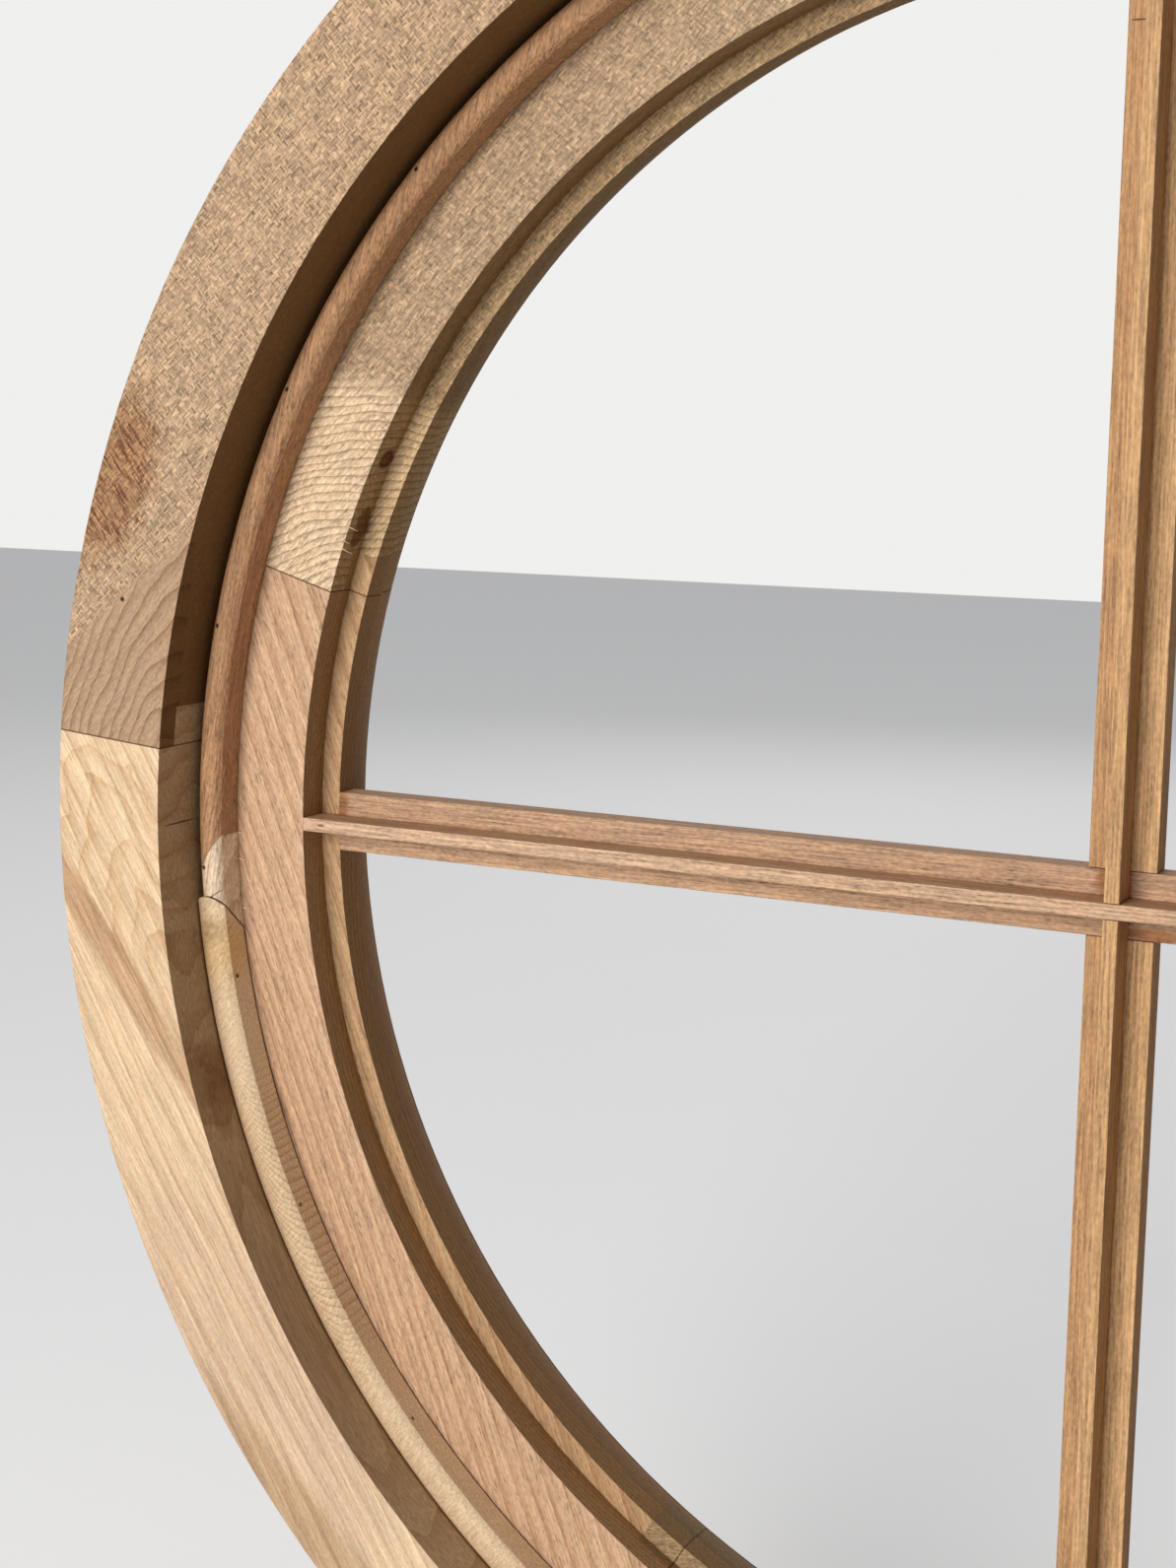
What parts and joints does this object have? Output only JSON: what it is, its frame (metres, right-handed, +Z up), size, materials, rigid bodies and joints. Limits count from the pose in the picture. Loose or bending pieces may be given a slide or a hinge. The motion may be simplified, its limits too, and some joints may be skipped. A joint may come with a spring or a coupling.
{
  "type": "round window",
  "caption": "Round centre-pivot timber window with a cross of glazing bars, in a deep round frame; the sash tips on side pivots.",
  "frame": {"origin": "centre of the ring, at the middle of the frame's depth, on the pivot axis", "axes": "+X to the right as seen from the front, +Y away from the viewer, through the window, +Z up"},
  "size_m": [0.8, 0.112, 0.8],
  "materials": {
    "frame_timber_tan": "raw sawn and sanded timber",
    "frame_timber_cream": "raw sawn and sanded timber",
    "sash_timber_pale": "raw sanded timber",
    "sash_timber_pink": "raw sanded timber",
    "bar_timber_pink": "raw planed timber",
    "bar_timber_golden": "raw planed timber",
    "bead_timber_red": "raw timber",
    "bead_timber_grey": "raw timber",
    "bead_timber_cream": "raw timber",
    "bead_timber_back": "raw timber",
    "brass": "satin",
    "steel": "satin"
  },
  "bodies": {
    "frame": {"frame_segment_top": "frame_timber_tan", "frame_segment_upper_left": "frame_timber_tan", "frame_segment_lower_left": "frame_timber_cream", "frame_segment_bottom": "frame_timber_cream", "frame_segment_right": "frame_timber_tan", "front_lower_bead_left": "bead_timber_cream", "front_lower_bead_right": "bead_timber_cream", "back_upper_bead_left": "bead_timber_back", "back_upper_bead_right": "bead_timber_back", "front_lower_bead_pins": "steel", "back_upper_bead_pins": "steel", "pivot_plate_left": "brass", "pivot_plate_right": "brass", "pivot_plate_screws": "steel"},
    "sash": {"sash_segment_top": "sash_timber_pale", "sash_segment_upper_left": "sash_timber_pale", "sash_segment_lower_left": "sash_timber_pink", "sash_segment_bottom": "sash_timber_pale", "sash_segment_right": "sash_timber_pink", "glazing_bar_horizontal": "bar_timber_pink", "glazing_bar_vertical": "bar_timber_golden", "front_upper_bead_left": "bead_timber_red", "front_upper_bead_patch": "bead_timber_grey", "front_upper_bead_right": "bead_timber_red", "back_lower_bead_left": "bead_timber_back", "back_lower_bead_right": "bead_timber_back", "front_upper_bead_pins": "steel", "back_lower_bead_pins": "steel", "pivot_socket_left": "brass", "pivot_socket_right": "brass", "pivot_socket_screws": "steel"}
  },
  "joints": [
    {"name": "sash_pivot", "type": "hinge", "parent": "frame", "child": "sash", "pos_m": [0, 0, 0], "axis": [1, 0, 0], "range_deg": [0, 78]}
  ]
}
